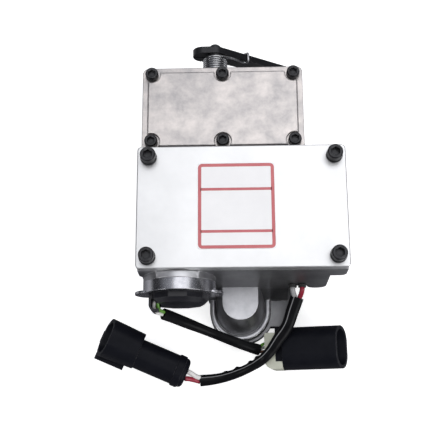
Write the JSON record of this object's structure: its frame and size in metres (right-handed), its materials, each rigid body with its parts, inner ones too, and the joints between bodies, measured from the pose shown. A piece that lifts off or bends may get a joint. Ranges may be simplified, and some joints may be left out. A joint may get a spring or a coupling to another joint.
{
  "type": "engine governor actuator",
  "caption": "Electromagnetic governor actuator: cast coil and linkage housings, spring-returned output lever, position sensor and two leads with plugs",
  "frame": {"origin": "middle of the mounting hole pattern, on the mounting face", "axes": "+Z out of the covers away from the mounting face, +Y towards the output lever, +X to the right"},
  "size_m": [0.1658, 0.2263, 0.086],
  "materials": {
    "cast_aluminium": "as-cast, bead blasted",
    "cast_cover": "as-cast, tumbled",
    "machined_cover": "fine ground, clear passivated",
    "gasket_paper": "fibre gasket paper",
    "black_screw": "black oxide",
    "label": "printed foil",
    "bronze": "sintered bronze",
    "seal_rubber": "moulded",
    "ground_steel": "ground",
    "spring_steel": "drawn wire, bright zinc",
    "black_lever": "black oxide",
    "core_iron": "stamped laminations",
    "bobbin_nylon": "moulded nylon",
    "copper_wire": "enamelled copper",
    "turned_aluminium": "turned bright",
    "sensor_plastic": "moulded glass-filled nylon",
    "grommet_rubber": "moulded",
    "sleeve_vinyl": "extruded vinyl tube",
    "wire_red": "extruded insulation",
    "wire_white": "extruded insulation",
    "wire_brown": "extruded insulation",
    "wire_green": "extruded insulation",
    "connector_plastic": "moulded nylon",
    "contact_tin": "tinned brass",
    "lock_plastic": "moulded nylon, natural"
  },
  "bodies": {
    "casing": {"coil_housing": "cast_aluminium", "coil_cover": "machined_cover", "coil_gasket": "gasket_paper", "coil_cover_screws": "black_screw", "coil_cover_washers": "black_screw", "nameplate": "label", "linkage_housing": "cast_aluminium", "linkage_cover": "cast_cover", "linkage_gasket": "gasket_paper", "linkage_cover_screws": "black_screw", "joint_gasket": "gasket_paper", "joint_screws": "black_screw", "inner_bush": "bronze", "outer_bush": "bronze", "shaft_seal": "seal_rubber", "return_spring": "spring_steel", "front_bearing": "ground_steel", "rear_bearing": "ground_steel", "field_core": "core_iron", "core_screws": "black_screw", "coil_bobbin": "bobbin_nylon", "coil_winding": "copper_wire", "sensor_cup": "turned_aluminium", "cup_screws": "ground_steel", "position_sensor": "sensor_plastic", "lead_grommets": "grommet_rubber", "coil_sleeve": "sleeve_vinyl", "coil_red_inlet": "wire_red", "coil_white_inlet": "wire_white", "coil_red_end": "wire_red", "coil_white_end": "wire_white", "two_way_connector": "connector_plastic", "two_way_contacts": "contact_tin", "sensor_sleeve": "sleeve_vinyl", "sensor_white_outlet": "wire_white", "sensor_brown_outlet": "wire_brown", "sensor_green_outlet": "wire_green", "sensor_white_end": "wire_white", "sensor_brown_end": "wire_brown", "sensor_green_end": "wire_green", "three_way_connector": "connector_plastic", "three_way_contacts": "contact_tin", "terminal_lock": "lock_plastic"},
    "output": {"output_shaft": "ground_steel", "thrust_washer": "ground_steel", "shaft_retaining_ring": "spring_steel", "output_lever": "black_lever", "lever_clamp_screw": "black_screw", "output_crank": "ground_steel", "output_link_pin": "ground_steel", "crank_set_screw": "black_screw"},
    "link": {"drag_link": "ground_steel"},
    "armature_body": {"armature_shaft": "ground_steel", "armature": "core_iron", "armature_crank": "ground_steel", "armature_link_pin": "ground_steel", "armature_set_screw": "black_screw"}
  },
  "joints": [
    {"name": "output_turn", "type": "hinge", "parent": "casing", "child": "output", "pos_m": [-0.0165, 0.08, 0.041], "axis": [0, -1, 0], "range_deg": [0, 35], "stiffness_Nm_per_rad": 0.15, "springref_deg": -34.38, "deforming": ["return_spring"]},
    {"name": "armature_turn", "type": "hinge", "parent": "casing", "child": "armature_body", "pos_m": [-0.039, 0.03, 0.052], "axis": [0, -1, 0], "range_deg": [0, 35]},
    {"name": "link_turn", "type": "hinge", "parent": "output", "child": "link", "pos_m": [-0.02477, 0.0706, 0.0323], "axis": [0, -1, 0], "range_deg": [-35, 0]}
  ],
  "couplings": [
    {"joint": "armature_turn", "follows": "output_turn", "ratio": 1},
    {"joint": "link_turn", "follows": "output_turn", "ratio": -1}
  ]
}
